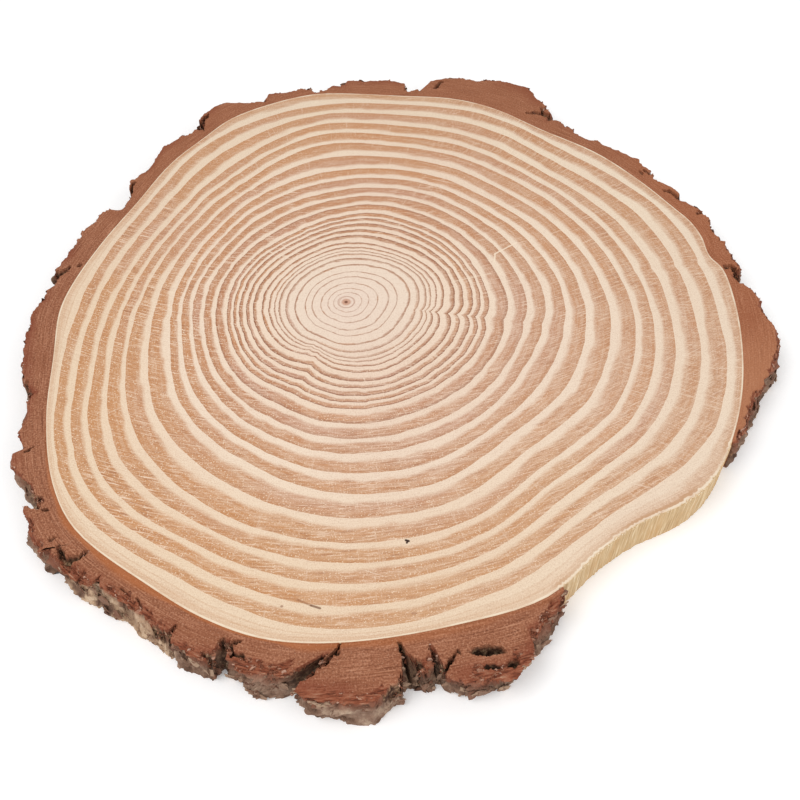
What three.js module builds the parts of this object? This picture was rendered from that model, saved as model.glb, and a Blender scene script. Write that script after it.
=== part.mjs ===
// Slice of a pine log, sawn square across the trunk: a disc of wood with its bark still on, except
// along one side where the bark has broken away. Millimetres, +Z up, lying on its underside.
// The outlines are drawn about the pith, and the finished group is moved so that its origin is at
// the middle of its underside.
import * as THREE from 'three';

// ---- driving dimensions ----
const THICKNESS = 16; // sawn thickness of the slice
const BARK_GAP = 0.35; // clearance between the wood and the bark round it
const WOOD_POINTS = 200; // points round the wood's rim
const BARK_STEP = 1.3; // degrees between two sections of the bark
const BARK_LEVELS = [0, 0.25, 0.55, 0.82, 1]; // heights of the bark's rough outside, as parts of the thickness
const ROUGHNESS = 0.7; // how far the bark's outside wanders in and out between its levels
const CLEFT_WIDTH = 0.35; // half of a fissure's width at its inner end, in degrees
const BARK_ENDS = [-26.5, 300]; // directions where the bark begins and ends, either side of the bare rim

// Rim of the wood about the pith: the log is wider along Y, and it has a shallow waist at the lower
// right, where the bark has gone, and a small step on the right.
const WOOD_RIM = [
  [159, 0], [158, 20], [154, 28], [153, 40], [150, 50], [144, 60], [131, 80], [114, 100], [90, 118],
  [70, 134], [50, 143], [20, 146], [-10, 148], [-22, 147], [-40, 140], [-60, 127], [-72, 111],
  [-85, 91], [-96, 63], [-106, 38], [-114, 11], [-116, -5], [-113, -30], [-109, -60], [-100, -90],
  [-88, -109], [-60, -130], [-40, -142], [-20, -149], [5, -150], [40, -144], [70, -134], [90, -116],
  [104, -106], [122, -97], [134, -86], [144, -68], [152, -46], [157, -22],
];

// Plates of the bark, counter-clockwise from the bare side. A plate runs between two directions in
// degrees about the pith. thick is how far it stands out from the wood, at even steps along it, cleft is
// what is left at the bottom of the fissure after it, and foot is how much further out it stands at the
// underside.
const PLATES = [
  { from: -26, to: -14.5, thick: [1.5, 3, 5.5, 7.5], cleft: 7, foot: 1 },
  { from: -14, to: 4, thick: [8, 13, 15, 14.5, 12.5, 11, 7], cleft: 4.5, foot: 0.5 },
  { from: 6.5, to: 13, thick: [7.5, 11, 9.5], cleft: 6.5, foot: -1 },
  { from: 13.7, to: 23.5, thick: [7, 7.5, 8.8, 8, 6.5], cleft: 5.5, foot: 1 },
  { from: 24.5, to: 30, thick: [8.5, 9.5, 8, 7], cleft: 6.5, foot: -0.5 },
  { from: 31, to: 52, thick: [8.5, 10.5, 11, 8, 7.5, 9.5, 12], cleft: 10, foot: 0.5 },
  { from: 53, to: 76.5, thick: [14, 20, 25, 27, 23, 19, 18, 15.5], cleft: 6.5, foot: -2 },
  { from: 77.3, to: 80, thick: [8.5, 7.8], cleft: 6.5, foot: 2 },
  { from: 80.7, to: 92, thick: [12.5, 14, 13.5, 12, 10.5], cleft: 7, foot: 0 },
  { from: 93, to: 97.5, thick: [7, 5.5, 3], cleft: 1.8, foot: 1.5 },
  { from: 98.6, to: 108.5, thick: [6.5, 8, 6.5, 6.8, 5], cleft: 4, foot: 0.5 },
  { from: 109.5, to: 121.5, thick: [7, 10, 14, 16, 12], cleft: 5, foot: -1 },
  { from: 122.8, to: 146, thick: [8, 11, 11.5, 9.5, 9, 10, 6], cleft: 4.5, foot: 1 },
  { from: 146.8, to: 150, thick: [4.5, 4.7], cleft: 5, foot: 2 },
  { from: 151.3, to: 172, thick: [8.5, 10.5, 11, 10.5, 10], cleft: 7, foot: 0 },
  { from: 173.2, to: 202, thick: [8.5, 9.5, 9.5, 11, 12, 11.5, 8.5], cleft: 7, foot: 0.5 },
  { from: 203, to: 212.5, thick: [8, 9, 10.5, 9], cleft: 7.5, foot: -0.5 },
  { from: 213.3, to: 221, thick: [11.5, 12, 9.5, 7], cleft: 4, foot: 1 },
  { from: 222.5, to: 230, thick: [12, 14, 14, 13.5], cleft: 10, foot: -0.5 },
  { from: 231, to: 238.5, thick: [11, 12, 11.5], cleft: 8, foot: -1.5 },
  { from: 239.5, to: 250.7, thick: [8.5, 8, 9, 8.5], cleft: 7, foot: 2.5 },
  { from: 251.5, to: 256.5, thick: [11, 11.5, 12], cleft: 5.5, foot: 0.5 },
  { from: 258.5, to: 266, thick: [8, 10, 11, 11], cleft: 4.5, foot: 1 },
  { from: 267.5, to: 277.5, thick: [14, 18, 19, 20, 15], cleft: 5.5, foot: 0 },
  { from: 280, to: 281.6, thick: [12.5, 11.5], cleft: 7, foot: 1 },
  { from: 282.5, to: 293, thick: [16, 19, 21, 21, 18, 14], cleft: 9.5, foot: -4 },
  { from: 294, to: 299.5, thick: [10, 6, 2.5], cleft: 2, foot: 1 },
];

// ---- outlines ----

// Closed smooth curve through the points of the rim.
const rimCurve = new THREE.CatmullRomCurve3(
  WOOD_RIM.map(([x, y]) => new THREE.Vector3(x, y, 0)), true, 'centripetal');

const degreesOf = (point) => THREE.MathUtils.radToDeg(Math.atan2(point.y, point.x));

// The rim's radius in a direction, found by halving along the curve, because the direction grows
// steadily round it.
const rimAngleStart = degreesOf(rimCurve.getPoint(0));
function rimRadius(degrees) {
  const wanted = THREE.MathUtils.euclideanModulo(degrees - rimAngleStart, 360);
  let low = 0;
  let high = 1;
  for (let halving = 0; halving < 30; halving++) {
    const middle = (low + high) / 2;
    const turned = THREE.MathUtils.euclideanModulo(degreesOf(rimCurve.getPoint(middle)) - rimAngleStart, 360);
    if (turned < wanted) low = middle;
    else high = middle;
  }
  return rimCurve.getPoint(low).length();
}

// Thickness of a plate a part of the way along it, from 0 to 1.
function plateThickness(plate, along) {
  const place = along * (plate.thick.length - 1);
  const before = Math.min(Math.floor(place), plate.thick.length - 2);
  return THREE.MathUtils.lerp(plate.thick[before], plate.thick[before + 1], place - before);
}

// Sections of the bark in order round the wood, each with its direction, its thickness at the sawn top
// and its foot. A fissure is a narrow section between two plates.
function barkSections() {
  const sections = [];
  PLATES.forEach((plate, index) => {
    const steps = Math.max(2, Math.round((plate.to - plate.from) / BARK_STEP));
    for (let step = 0; step <= steps; step++) {
      const along = step / steps;
      const degrees = THREE.MathUtils.lerp(plate.from, plate.to, along);
      sections.push({ degrees, thick: plateThickness(plate, along), foot: plate.foot });
    }
    const next = PLATES[index + 1];
    if (next) {
      const middle = (plate.to + next.from) / 2;
      const half = Math.min(CLEFT_WIDTH, (next.from - plate.to) / 4);
      sections.push({ degrees: middle - half, thick: plate.cleft, foot: 0 });
      sections.push({ degrees: middle + half, thick: plate.cleft, foot: 0 });
    }
  });
  const ends = { thick: 1, foot: 0 };
  return [{ degrees: BARK_ENDS[0], ...ends }, ...sections, { degrees: BARK_ENDS[1], ...ends }];
}

// How far the rough outside wanders at a direction and a height, as three waves that never line up.
function barkWander(degrees, height) {
  const turn = THREE.MathUtils.degToRad(degrees);
  const waves = Math.sin(turn * 23 + height * 4) + Math.sin(turn * 41 - height * 6) + Math.sin(turn * 67 + height * 9);
  return ROUGHNESS * waves / 2;
}

// ---- pieces ----

function woodDisc() {
  const rim = new THREE.Shape();
  rimCurve.getPoints(WOOD_POINTS).slice(0, -1).forEach((point, index) => {
    if (index === 0) rim.moveTo(point.x, point.y);
    else rim.lineTo(point.x, point.y);
  });
  const geometry = new THREE.ExtrudeGeometry(rim, { depth: THICKNESS, bevelEnabled: false });
  const material = new THREE.MeshStandardMaterial({ color: 0xdcbb95, roughness: 0.65, metalness: 0 });
  const mesh = new THREE.Mesh(geometry, material);
  mesh.name = 'wood_disc';
  return mesh;
}

// The bark is lofted through its sections. Each section is a loop of points: up the rough outside, then
// down the smooth inside that lies against the wood.
function bark() {
  const sections = barkSections();
  const loopLength = BARK_LEVELS.length + 2;
  const positions = [];
  for (const { degrees, thick, foot } of sections) {
    const turn = THREE.MathUtils.degToRad(degrees);
    const inner = rimRadius(degrees) + BARK_GAP;
    const push = (radius, z) => positions.push(radius * Math.cos(turn), radius * Math.sin(turn), z);
    for (const height of BARK_LEVELS) {
      const onTop = height === 1;
      const rough = onTop ? 0 : barkWander(degrees, height);
      const standsOut = Math.max(0.8, thick - BARK_GAP + foot * (1 - height) + rough);
      push(inner + standsOut, height * THICKNESS);
    }
    push(inner, THICKNESS);
    push(inner, 0);
  }
  const faces = [];
  for (let section = 0; section < sections.length - 1; section++) {
    for (let corner = 0; corner < loopLength; corner++) {
      const a = section * loopLength + corner;
      const b = section * loopLength + ((corner + 1) % loopLength);
      faces.push(a, a + loopLength, b, b, a + loopLength, b + loopLength);
    }
  }
  const last = (sections.length - 1) * loopLength;
  for (let corner = 1; corner < loopLength - 1; corner++) {
    faces.push(0, corner, corner + 1);
    faces.push(last, last + corner + 1, last + corner);
  }
  const geometry = new THREE.BufferGeometry();
  geometry.setAttribute('position', new THREE.Float32BufferAttribute(positions, 3));
  geometry.setIndex(faces);
  geometry.computeVertexNormals();
  const material = new THREE.MeshStandardMaterial({ color: 0x8a5136, roughness: 0.9, metalness: 0 });
  const mesh = new THREE.Mesh(geometry, material);
  mesh.name = 'bark';
  return mesh;
}

// ---- the slice, with its origin at the middle of its underside ----

const slice = new THREE.Group();
slice.add(woodDisc(), bark());

const middle = new THREE.Box3().setFromObject(slice).getCenter(new THREE.Vector3());
slice.position.set(-middle.x, -middle.y, 0);

export default slice;
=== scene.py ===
# %% [markdown]
# A slice of a pine log
#
# The object is one cross cut through a pine trunk: a disc of wood with its growth rings, and the
# bark that still hangs on round most of its rim. This lesson dresses the plain solids of the design
# in four steps: the wood, the bark, the loose flakes and torn fibres, and the light. Everything is in
# metres, and every place is measured from the design's own solids, so nothing has to be fitted.

# %% Tools, frame and the size to keep
import math

import bmesh
import bpy
import numpy as np
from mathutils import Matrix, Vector, noise
from mathutils.bvhtree import BVHTree


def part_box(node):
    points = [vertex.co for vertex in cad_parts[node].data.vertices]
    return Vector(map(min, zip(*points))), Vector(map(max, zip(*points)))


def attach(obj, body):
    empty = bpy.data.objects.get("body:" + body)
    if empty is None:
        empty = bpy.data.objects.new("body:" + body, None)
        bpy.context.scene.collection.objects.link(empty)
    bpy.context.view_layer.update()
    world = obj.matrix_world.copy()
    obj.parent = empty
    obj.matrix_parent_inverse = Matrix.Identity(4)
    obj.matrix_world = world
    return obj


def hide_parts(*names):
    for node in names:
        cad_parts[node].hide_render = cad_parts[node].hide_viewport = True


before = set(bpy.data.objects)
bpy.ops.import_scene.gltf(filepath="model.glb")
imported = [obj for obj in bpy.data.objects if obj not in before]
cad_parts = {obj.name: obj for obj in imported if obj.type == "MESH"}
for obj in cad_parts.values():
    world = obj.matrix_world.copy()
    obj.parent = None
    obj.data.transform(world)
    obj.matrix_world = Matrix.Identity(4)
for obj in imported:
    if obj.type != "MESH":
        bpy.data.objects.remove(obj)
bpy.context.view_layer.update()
wood_low, wood_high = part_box("wood_disc")

MM = 0.001
TOP = wood_high.z
THICKNESS = wood_high.z - wood_low.z
print("frame holds", sorted(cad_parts), "thickness in mm:", round(THICKNESS / MM, 2))

# %% [markdown]
# Where the pith is
#
# The pith is the dark dot that the tree grew from. It lies left of the middle, because the trunk grew
# faster on one side. Directions round the slice are in degrees about the pith, counter-clockwise from
# +X, because the rings, the bark's plates and the rays all follow them.

# %% The pith and polar measures
PITH_FROM_LEFT = 116.0 * MM
PITH_FROM_FRONT = 150.4 * MM
PITH = Vector((wood_low.x + PITH_FROM_LEFT, wood_low.y + PITH_FROM_FRONT, 0))


def on_plan(degrees, radius):
    """Plan coordinates of places at directions and radii about the pith."""
    turn = np.radians(degrees)
    return PITH.x + radius * np.cos(turn), PITH.y + radius * np.sin(turn)


def solid_tree(node):
    """Search tree over a solid of the design, for measuring it with rays."""
    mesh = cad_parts[node].data
    corners = [vertex.co.copy() for vertex in mesh.vertices]
    return BVHTree.FromPolygons(corners, [tuple(face.vertices) for face in mesh.polygons])


def outside_radius(tree, degrees, height):
    """Radius at which a ray that comes in towards the pith first meets the solid, or 0."""
    turn = math.radians(degrees)
    outward = Vector((math.cos(turn), math.sin(turn), 0))
    start = Vector((PITH.x, PITH.y, height)) + outward
    hit = tree.ray_cast(start, -outward)[0]
    return (hit.xy - PITH.xy).length if hit else 0.0


wood_tree = solid_tree("wood_disc")
bark_tree = solid_tree("bark")
RIM_DEGREES = np.arange(0, 360, 0.5)
rim_samples = np.array([outside_radius(wood_tree, d, TOP / 2) for d in RIM_DEGREES])


def rim_radius(degrees):
    """Radius of the wood's rim in a direction."""
    return np.interp(np.mod(degrees, 360), RIM_DEGREES, rim_samples, period=360)


print("rim radius from", round(rim_samples.min() / MM, 1), "to", round(rim_samples.max() / MM, 1), "mm")

# %% [markdown]
# The camera, the floor and the light
#
# The slice lies on a table and the camera looks down on it from the front at about fifty degrees, from
# quite near, so that the near rim is clearly bigger than the far one. A large soft light and a bright
# surround show wood best: hard light would put glare on the sawn face and hide the rings.

# %% Camera
CAMERA_ELEVATION = math.radians(50.5)
CAMERA_DISTANCE = 0.375
CAMERA_LENS = 45.0
AIM_FROM_PITH = Vector((22.0, -51.8, 0)) * MM

aim = Vector((PITH.x, PITH.y, TOP)) + AIM_FROM_PITH
back = Vector((0, -math.cos(CAMERA_ELEVATION), math.sin(CAMERA_ELEVATION)))
camera = bpy.data.objects.new("camera", bpy.data.cameras.new("camera"))
camera.data.lens = CAMERA_LENS
camera.data.sensor_width = 36.0
camera.data.clip_start = 0.01
camera.location = aim + back * CAMERA_DISTANCE
camera.rotation_mode = "QUATERNION"
camera.rotation_quaternion = (-back).to_track_quat("-Z", "Y")
bpy.context.scene.collection.objects.link(camera)
bpy.context.scene.camera = camera
bpy.context.scene.view_settings.view_transform = "Standard"


# %% Floor and lights
def plain_material(name, colour, roughness):
    """A plain material for what isn't part of the object."""
    material = bpy.data.materials.new(name)
    material.use_nodes = True
    shader = material.node_tree.nodes["Principled BSDF"]
    shader.inputs["Base Color"].default_value = (*colour, 1)
    shader.inputs["Roughness"].default_value = roughness
    return material


def new_object(name, vertices, faces):
    """A mesh object at the origin, linked to the scene."""
    mesh = bpy.data.meshes.new(name)
    mesh.from_pydata(vertices, [], faces)
    mesh.update()
    made = bpy.data.objects.new(name, mesh)
    bpy.context.scene.collection.objects.link(made)
    return made


FLOOR_HALF = 4.0
floor_corners = [(-FLOOR_HALF, -FLOOR_HALF, 0), (FLOOR_HALF, -FLOOR_HALF, 0),
                 (FLOOR_HALF, FLOOR_HALF, 0), (-FLOOR_HALF, FLOOR_HALF, 0)]
floor = new_object("floor", floor_corners, [(0, 1, 2, 3)])
floor_white = plain_material("floor_white", (0.95, 0.95, 0.95), 0.9)
floor_glow = floor_white.node_tree.nodes["Principled BSDF"].inputs
floor_glow["Emission Color"].default_value = (1, 1, 1, 1)
floor_glow["Emission Strength"].default_value = 0.14
floor.data.materials.append(floor_white)

world = bpy.data.worlds.new("surround")
world.use_nodes = True
world.node_tree.nodes["Background"].inputs["Color"].default_value = (1, 1, 1, 1)
world.node_tree.nodes["Background"].inputs["Strength"].default_value = 0.62
bpy.context.scene.world = world


def soft_light(name, place, size, power):
    """A square light that faces the slice."""
    data = bpy.data.lights.new(name, "AREA")
    data.size = size
    data.energy = power
    light = bpy.data.objects.new(name, data)
    light.location = place
    light.rotation_mode = "QUATERNION"
    light.rotation_quaternion = (aim - Vector(place)).to_track_quat("-Z", "Y")
    bpy.context.scene.collection.objects.link(light)


soft_light("key", (-0.7, -0.5, 1.5), 0.9, 11.2)
soft_light("fill", (0.9, -0.9, 0.9), 1.2, 5.4)
print("camera at", [round(v, 3) for v in camera.location])

# %% [markdown]
# The growth rings
#
# Every year the tree lays down one ring: pale spring wood first, then tan summer wood that stops at a
# sharp edge. The rings could be a texture of distorted circles, but these aren't circles: they start
# round at the pith, get wider on one side, and slowly take the shape of the trunk. So the years are
# part of the mesh. A few guide years have their radius in sixteen directions, the years between share
# the room, and every vertex then carries its own age. The material only has to read the age.

# %% Guide years
# directions in degrees, and the radius in mm of the outer edge of a year's ring in each of them
DIRECTIONS = [0, 20, 45, 65, 80, 97, 120, 145, 170, 200, 225, 250, 265, 295, 310, 335]
GUIDE_YEARS = {
    8: [26, 27, 26, 24, 23, 22, 21, 20.5, 20.5, 21.5, 22, 22, 23.5, 24.5, 25, 24.5],
    13: [40, 41, 38.5, 37, 36.5, 36, 33.5, 33, 34, 34.5, 34.5, 33.5, 36.5, 40, 39.5, 40],
    18: [58.5, 57.5, 57, 56.5, 56.5, 53, 48.5, 48, 48, 49, 51.5, 52.5, 55.5, 57, 57.5, 58.5],
    21: [81.5, 79, 76.5, 76.5, 74.5, 71, 67, 62.5, 62, 63, 68, 73, 76, 78, 78.5, 78.5],
    23: [97, 94.5, 90, 90, 88.5, 85.5, 79.5, 72, 70.5, 72.5, 81.5, 87.5, 92.5, 95.5, 92.5, 96.5],
    25: [116, 112, 108, 107.5, 106, 106.5, 93, 84, 82.5, 89.5, 102, 109.5, 113, 114, 110, 116.5],
    27: [131, 128, 122, 124.5, 122.5, 122.5, 107, 94, 93, 102, 119.5, 124, 128.5, 128, 124, 132],
    29: [150.5, 150, 141.5, 144, 140, 138.5, 128.5, 110, 107, 115, 132.5, 137.5, 144.5, 142, 139, 152],
}
LAST_YEAR = 30
# where the years between two guide years end, as shares of the room between them
SHARES = {
    8: [0.07, 0.14, 0.25, 0.36, 0.5, 0.67, 0.8],
    13: [0.28, 0.49, 0.62, 0.79],
    18: [0.25, 0.44, 0.65, 0.82],
    21: [0.33, 0.67],
}
EVEN_SHARE = [0.5]


def smooth_round(values, degrees):
    """Smooth periodic curve through one value in each of the sixteen directions."""
    places = np.concatenate([np.array(DIRECTIONS, float) + turn for turn in (-360, 0, 360)])
    heights = np.tile(np.array(values, float), 3)
    slopes = np.gradient(heights, places)
    wanted = np.mod(degrees, 360)
    before = np.clip(np.searchsorted(places, wanted, side="right") - 1, 0, len(places) - 2)
    width = places[before + 1] - places[before]
    part = (wanted - places[before]) / width
    rise = heights[before] * (2 * part ** 3 - 3 * part ** 2 + 1)
    rise += slopes[before] * width * (part ** 3 - 2 * part ** 2 + part)
    rise += heights[before + 1] * (3 * part ** 2 - 2 * part ** 3)
    return rise + slopes[before + 1] * width * (part ** 3 - part ** 2)


# %% [markdown]
# Dents in the rings
#
# Two short branches or bruises left V-shaped dents, which the tree carried outwards for a few years and
# then grew over. A third one on the right still shows as a small step in the rim. Rings also wander by
# a fraction of a millimetre all the way round.

# %% Dents and wander
# direction, half width in degrees, deepest year, years that it lasts either side, depth in mm
DENTS = [(351, 5, 15, 7.5, 3.0), (250, 6, 14, 5, 1.6), (243, 4, 12, 4, 1.0), (8.8, 1.2, 28.6, 3, 1.3),
         (218, 3, 27, 3, 0.8), (122, 3, 24, 4, 0.8)]
WANDER = 0.34 * MM


def dent_depth(year, degrees):
    """How far a year's ring is pushed in, in metres, by all the dents."""
    depth = np.zeros_like(degrees)
    for direction, half_width, deepest, lasts, deep in DENTS:
        away = np.abs(np.mod(degrees - direction + 180, 360) - 180) / half_width
        fade = max(0.0, 1 - abs(year - deepest) / lasts)
        depth += deep * MM * fade ** 0.7 * np.exp(-away * 1.4)
    return depth


def round_noise(degrees, waves, offset):
    """Noise that closes on itself round the slice."""
    turn = np.radians(degrees)
    places = zip(np.cos(turn) * waves, np.sin(turn) * waves)
    return np.array([noise.noise(Vector((x, y, offset))) for x, y in places])


def ring_wander(year, degrees):
    """Small wandering of a ring, alike in neighbouring years."""
    slow = round_noise(degrees, 9, year * 0.35)
    quick = round_noise(degrees, 26, 7 + year * 0.5)
    return WANDER * (1.3 * slow + 0.6 * quick)


def year_rings(degrees):
    """Radius of the outer edge of every year from 0, the pith, to the last, which is the rim."""
    rings = [np.zeros_like(degrees)]
    start = rings[0]
    for year, radii in [*GUIDE_YEARS.items(), (LAST_YEAR, None)]:
        end = rim_radius(degrees) if radii is None else smooth_round(radii, degrees) * MM
        gap = year - len(rings) + 1
        shares = (SHARES.get(year, EVEN_SHARE) if gap > 1 else [])
        rings += [start + (end - start) * share for share in shares]
        rings.append(end)
        start = end
    for year in range(4, LAST_YEAR):
        shift = ring_wander(year, degrees) * min(1, year / 18) - dent_depth(year, degrees)
        rings[year] = rings[year] + shift
    for year in range(1, LAST_YEAR):
        rings[year] = np.maximum(rings[year], rings[year - 1] + 0.4 * MM)
    return rings


# %% [markdown]
# The disc of wood
#
# The disc is a wheel of vertices: one row for every year on each face, and a few rows down the rim.
# The rim is fibrous where the bark has gone, so its columns stand closer there and its rows wander in
# and out along upright grooves. The face's outer edge gets a tiny worn bevel, because a knife-sharp
# edge never looks real.

# %% Columns of the disc
BARE_FROM, BARE_TO = 299.0, 333.5
COLUMN_STEP = 0.5
BARE_COLUMN_STEP = 0.14

column_degrees = np.concatenate([np.arange(BARE_TO - 360, BARE_FROM, COLUMN_STEP),
                                 np.arange(BARE_FROM, BARE_TO, BARE_COLUMN_STEP)])
COLUMNS = len(column_degrees)
rings = year_rings(column_degrees)
print(COLUMNS, "columns;", len(rings) - 1, "years, the last one",
      round(float((rings[-1] - rings[-2]).mean()) / MM, 1), "mm wide")

# %% Rows of the disc
EDGE_WEAR = 0.3 * MM
SIDE_ROWS = 12


def bareness(degrees):
    """1 where the rim is bare, falling to 0 under the bark."""
    into = np.minimum(np.mod(degrees, 360) - BARE_FROM, BARE_TO - np.mod(degrees, 360))
    return np.clip(into / 2.0 + 0.5, 0, 1)


def rim_grooves(degrees, height):
    """Upright grooves and small splinters of the torn rim, in metres."""
    lift = height / MM
    grooves = [noise.noise(Vector((d * 0.9, lift * 0.05, 3))) for d in degrees]
    splinters = [noise.noise(Vector((d * 3.1, lift * 0.12, 9))) for d in degrees]
    return (0.3 * np.array(grooves) + 0.28 * np.array(splinters)) * MM * bareness(degrees)


def wood_rows():
    """Rows from the middle of the top face, over the rim, to the middle of the underside."""
    rows = [(rings[year], TOP, float(year), 0) for year in range(1, LAST_YEAR)]
    edge = rings[LAST_YEAR]
    newest = LAST_YEAR - 0.01
    nicks = 0.9 * MM * bareness(column_degrees) * np.clip(round_noise(column_degrees, 150, 4) * 2.4, 0, 1)
    rows.append((edge - EDGE_WEAR - 0.7 * nicks, TOP, newest, 0))
    for step in range(SIDE_ROWS + 1):
        height = TOP - EDGE_WEAR - (THICKNESS - 2 * EDGE_WEAR) * step / SIDE_ROWS
        lowered = height - (nicks if step == 0 else 0)
        rows.append((edge + rim_grooves(column_degrees, height), lowered, newest, 1))
    rows.append((edge - EDGE_WEAR, 0.0, newest, 0))
    rows += [(rings[year], 0.0, float(year), 0) for year in range(LAST_YEAR - 1, 0, -1)]
    return rows


def wheel_faces(row_count, columns):
    """Faces of a wheel of rows that starts at one middle vertex and ends at another."""
    column = np.arange(columns)
    following = (column + 1) % columns
    last = 1 + row_count * columns
    faces = [(0, 1 + a, 1 + b) for a, b in zip(column.tolist(), following.tolist())]
    for row in range(row_count - 1):
        start = 1 + row * columns
        quads = np.stack([start + column, start + columns + column,
                          start + columns + following, start + following], axis=-1)
        faces += [tuple(quad) for quad in quads.tolist()]
    start = last - columns
    faces += [(start + a, last, start + b) for a, b in zip(column.tolist(), following.tolist())]
    return faces


def add_attribute(mesh, name, values):
    """One number for every vertex, for the materials to read."""
    layer = mesh.attributes.new(name, "FLOAT", "POINT")
    layer.data.foreach_set("value", np.asarray(values, np.float32).ravel())


def wood_piece():
    """The disc, each vertex marked with its age, whether it is on the rim and how bare the rim is there."""
    rows = wood_rows()
    places = [np.array([[PITH.x, PITH.y, TOP]])]
    for radius, height, _, _ in rows:
        x, y = on_plan(column_degrees, radius)
        places.append(np.stack([x, y, np.zeros(COLUMNS) + height], axis=-1))
    places.append(np.array([[PITH.x, PITH.y, 0.0]]))
    vertices = np.concatenate(places)
    piece = new_object("wood", vertices.tolist(), wheel_faces(len(rows), COLUMNS))
    ages = [0.0, *np.repeat([row[2] for row in rows], COLUMNS), 0.0]
    sides = [0.0, *np.repeat([float(row[3]) for row in rows], COLUMNS), 0.0]
    add_attribute(piece.data, "age", ages)
    add_attribute(piece.data, "side", sides)
    bare_columns = bareness(column_degrees)
    add_attribute(piece.data, "bare", [0.0, *np.tile(bare_columns, len(rows)), 0.0])
    return piece


wood = wood_piece()
print("wood has", len(wood.data.polygons), "faces")


# %% [markdown]
# Layout of the wood's skin
#
# A baked image needs a flat layout. The top face gets the largest share, because that is where people
# look, the underside a smaller one, and the rim one long strip.

# %% Flat layout of the wood
# shares of the image: scale in units per metre, or length of the strip, and the lower left corner
TOP_SCALE, TOP_CORNER = 2.4, (0.01, 0.21)
UNDER_SCALE, UNDER_CORNER = 1.12, (0.68, 0.21)
STRIP_LENGTH, STRIP_HEIGHT, STRIP_CORNER = 0.98, 0.16, (0.01, 0.02)


def lay_out_wood(piece):
    """Top face, underside and rim side by side, with no overlaps."""
    mesh = piece.data
    layout = mesh.uv_layers.new(name="OFBake")
    corner_vertex = np.zeros(len(mesh.loops), np.int32)
    mesh.loops.foreach_get("vertex_index", corner_vertex)
    places = np.zeros(len(mesh.vertices) * 3)
    mesh.vertices.foreach_get("co", places)
    places = places.reshape(-1, 3)
    spots = np.zeros((len(mesh.loops), 2))
    for face in mesh.polygons:
        span = np.arange(face.loop_start, face.loop_start + face.loop_total)
        where = places[corner_vertex[span]]
        if abs(face.normal.z) < 0.7:
            turn = np.degrees(np.arctan2(where[:, 1] - PITH.y, where[:, 0] - PITH.x)) % 360
            if turn.max() - turn.min() > 180:
                turn[turn < 180] += 360
            spots[span, 0] = STRIP_CORNER[0] + STRIP_LENGTH * turn / 361
            spots[span, 1] = STRIP_CORNER[1] + STRIP_HEIGHT * where[:, 2] / THICKNESS
        else:
            scale, corner = (TOP_SCALE, TOP_CORNER) if face.normal.z > 0 else (UNDER_SCALE, UNDER_CORNER)
            spots[span, 0] = corner[0] + (where[:, 0] - wood_low.x) * scale
            spots[span, 1] = corner[1] + (where[:, 1] - wood_low.y) * scale
    layout.data.foreach_set("uv", spots.ravel())


lay_out_wood(wood)


# %% [markdown]
# Node helpers
#
# A material is a tree of small nodes, and written out node by node it is long and hard to follow. This
# few small classes give each kind of node one short name, so that a material reads like a list of coats
# of paint: what pattern, which colour, how strongly. The recipes for Geometry Nodes use the first class
# too.

# %% Node helpers
def srgb(red, green, blue):
    """A colour as a screen shows it, 0 to 255, turned into the linear values that shaders use."""
    parts = []
    for value in (red, green, blue):
        part = value / 255
        parts.append(part / 12.92 if part <= 0.04045 else ((part + 0.055) / 1.055) ** 2.4)
    return (*parts, 1.0)


class Nodes:
    """A node tree with short ways to add the nodes that this lesson needs."""

    def set(self, socket, value):
        """Links a socket's output, or sets a plain value."""
        if isinstance(value, bpy.types.NodeSocket):
            self.tree.links.new(value, socket)
        else:
            socket.default_value = value

    def add(self, kind, outlet=0, inputs=(), **settings):
        """Adds a node and returns one of its outputs."""
        node = self.tree.nodes.new(kind)
        for name, value in settings.items():
            setattr(node, name, value)
        for key, value in dict(inputs).items():
            self.set(node.inputs[key], value)
        return node.outputs[outlet]

    def math(self, operation, a, b=0.0):
        return self.add("ShaderNodeMath", 0, {0: a, 1: b}, operation=operation)

    def vector(self, operation, a, b=(0, 0, 0)):
        outlet = "Value" if operation in ("LENGTH", "DOT_PRODUCT", "DISTANCE") else "Vector"
        return self.add("ShaderNodeVectorMath", outlet, {0: a, 1: b}, operation=operation)

    def scaled(self, vector, factor):
        return self.add("ShaderNodeVectorMath", "Vector", {0: vector, "Scale": factor}, operation="SCALE")

    def joined(self, x=0.0, y=0.0, z=0.0):
        return self.add("ShaderNodeCombineXYZ", 0, {"X": x, "Y": y, "Z": z})

    def split(self, vector):
        node = self.tree.nodes.new("ShaderNodeSeparateXYZ")
        self.set(node.inputs[0], vector)
        return node.outputs[0], node.outputs[1], node.outputs[2]


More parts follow.
